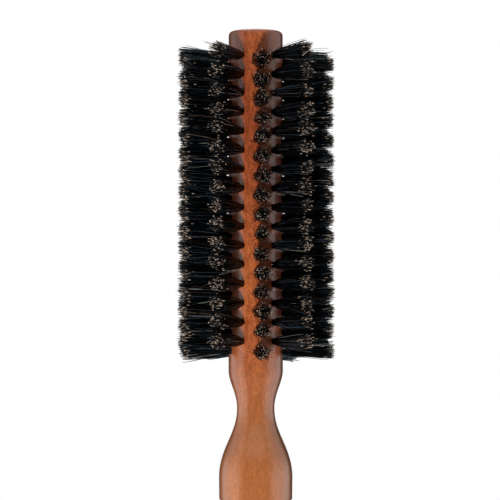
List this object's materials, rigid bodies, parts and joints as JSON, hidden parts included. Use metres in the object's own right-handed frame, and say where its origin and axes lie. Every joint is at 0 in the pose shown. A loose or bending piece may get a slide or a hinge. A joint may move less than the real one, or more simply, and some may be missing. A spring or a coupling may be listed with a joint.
{
  "type": "round barrel brush",
  "caption": "Round barrel hairbrush for blow-drying: one-piece turned wooden body with straight rows of staggered natural bristle tufts.",
  "frame": {"origin": "centre of the handle's flat butt", "axes": "+Z along the brush's axis, from the butt to the barrel's end; -Y is the front, 5.3 degrees clockwise from the first row seen from above"},
  "size_m": [0.0572, 0.0574, 0.235],
  "materials": {
    "lacquered_wood": "gloss",
    "natural_bristle": "satin"
  },
  "bodies": {
    "root": {"wooden_body": "lacquered_wood", "bristle_row_01": "natural_bristle", "bristle_row_02": "natural_bristle", "bristle_row_03": "natural_bristle", "bristle_row_04": "natural_bristle", "bristle_row_05": "natural_bristle", "bristle_row_06": "natural_bristle", "bristle_row_07": "natural_bristle", "bristle_row_08": "natural_bristle", "bristle_row_09": "natural_bristle", "bristle_row_10": "natural_bristle"}
  },
  "joints": []
}
